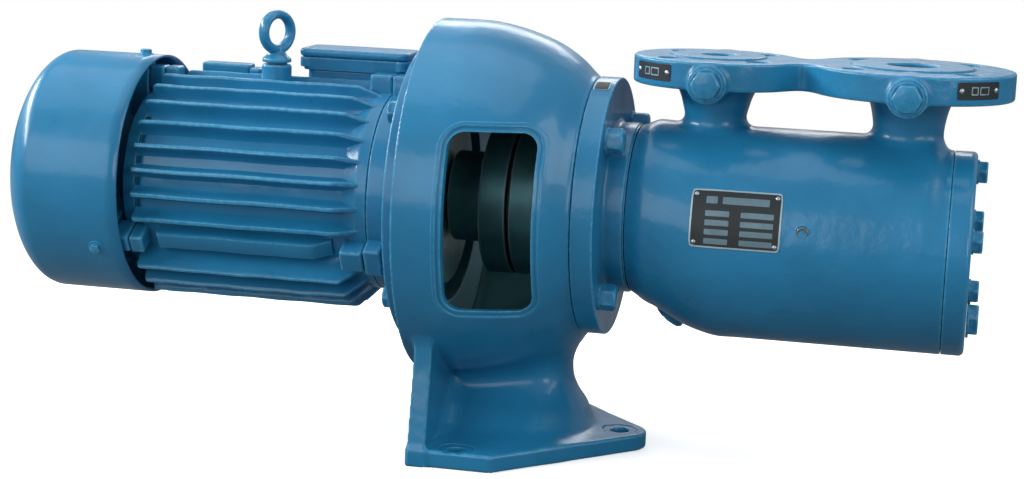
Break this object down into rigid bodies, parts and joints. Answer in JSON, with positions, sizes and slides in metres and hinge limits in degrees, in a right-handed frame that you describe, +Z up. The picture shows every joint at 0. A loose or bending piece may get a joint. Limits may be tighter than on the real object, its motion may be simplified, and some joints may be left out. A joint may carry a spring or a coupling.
{
  "type": "three-screw pump with motor",
  "caption": "Three-screw oil pump on a bell bracket with a triangular foot, finned flange motor, open coupling windows and a twin-port flange plate on top.",
  "frame": {"origin": "underside of the foot, under the shaft's centre line, 88 mm in front of the foot's rear edge", "axes": "+X along the shaft from the motor towards the pump, +Y away from the side with the nameplate, +Z up"},
  "size_m": [0.8379, 0.297, 0.3535],
  "materials": {
    "blue_paint": "glossy enamel over a cast surface",
    "dark_casting": "bare, oiled and dark",
    "rubber": "matte",
    "bare_steel": "ground",
    "plate": "black plate, bare of text",
    "plastic": "matte"
  },
  "bodies": {
    "unit": {"bell_housing": "blue_paint", "pump_body": "blue_paint", "pump_front_cover": "blue_paint", "end_cover": "blue_paint", "motor_frame": "blue_paint", "nde_shield": "blue_paint", "de_shield": "blue_paint", "fan_cover": "blue_paint", "eye_bolt": "blue_paint", "terminal_box": "blue_paint", "terminal_box_lid": "blue_paint", "gauge_plug_discharge_far": "blue_paint", "gauge_plug_discharge_near": "blue_paint", "gauge_plug_suction_far": "blue_paint", "gauge_plug_suction_near": "blue_paint", "relief_plug": "blue_paint", "stator_core": "dark_casting", "drain_plug": "bare_steel", "nameplate": "plate", "port_label_discharge": "plate", "port_label_suction": "plate", "cable_gland": "plastic"},
    "rotor": {"motor_shaft": "bare_steel", "rotor_core": "dark_casting", "cooling_fan": "plastic", "coupling_motor_half": "dark_casting", "coupling_element": "rubber", "coupling_pump_half": "dark_casting", "pump_shaft": "bare_steel"}
  },
  "joints": [
    {"name": "shaft_spin", "type": "hinge", "parent": "unit", "child": "rotor", "pos_m": [0, 0, 0.205], "axis": [1, 0, 0], "continuous": true}
  ]
}
